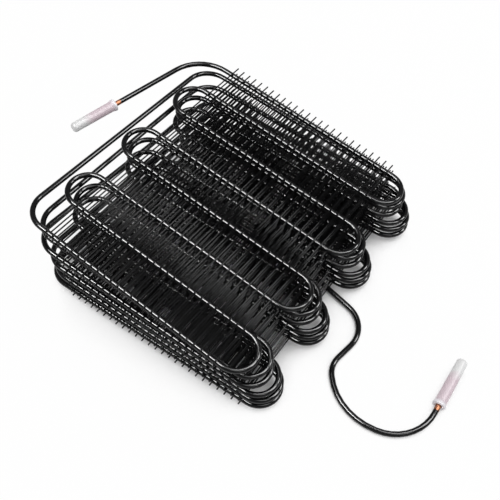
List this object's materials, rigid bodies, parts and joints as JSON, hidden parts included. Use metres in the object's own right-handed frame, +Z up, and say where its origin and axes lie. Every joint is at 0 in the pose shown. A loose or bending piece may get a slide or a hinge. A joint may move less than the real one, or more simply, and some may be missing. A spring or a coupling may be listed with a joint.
{
  "type": "condenser coil",
  "caption": "Stacked wire-on-tube condenser coil: a black serpentine tube in fanned layers with fin wires across both faces, an inlet leg, a swept outlet leg and push-on end caps.",
  "frame": {"origin": "under the middle of the bottom layer, on the surface the coil stands on", "axes": "+X along the straight runs towards the outlet side, +Y along the fin wires towards the rear, +Z up"},
  "size_m": [0.4032, 0.2683, 0.0836],
  "materials": {
    "tube": "gloss black paint over steel tube",
    "wire": "gloss black paint over steel wire",
    "cap": "milky soft plastic"
  },
  "bodies": {
    "root": {"layer_1_tube": "tube", "layer_2_tube": "tube", "layer_3_tube": "tube", "layer_4_tube": "tube", "layer_5_tube": "tube", "layer_6_tube": "tube", "side_tube_1": "tube", "side_tube_2": "tube", "side_tube_3": "tube", "side_tube_4": "tube", "side_tube_5": "tube", "inlet_leg": "tube", "outlet_leg": "tube", "layer_1_upper_wires": "wire", "layer_1_lower_wires": "wire", "layer_2_upper_wires": "wire", "layer_2_lower_wires": "wire", "layer_3_upper_wires": "wire", "layer_3_lower_wires": "wire", "layer_4_upper_wires": "wire", "layer_4_lower_wires": "wire", "layer_5_upper_wires": "wire", "layer_5_lower_wires": "wire", "layer_6_upper_wires": "wire", "layer_6_lower_wires": "wire", "inlet_cap": "cap", "outlet_cap": "cap"}
  },
  "joints": []
}
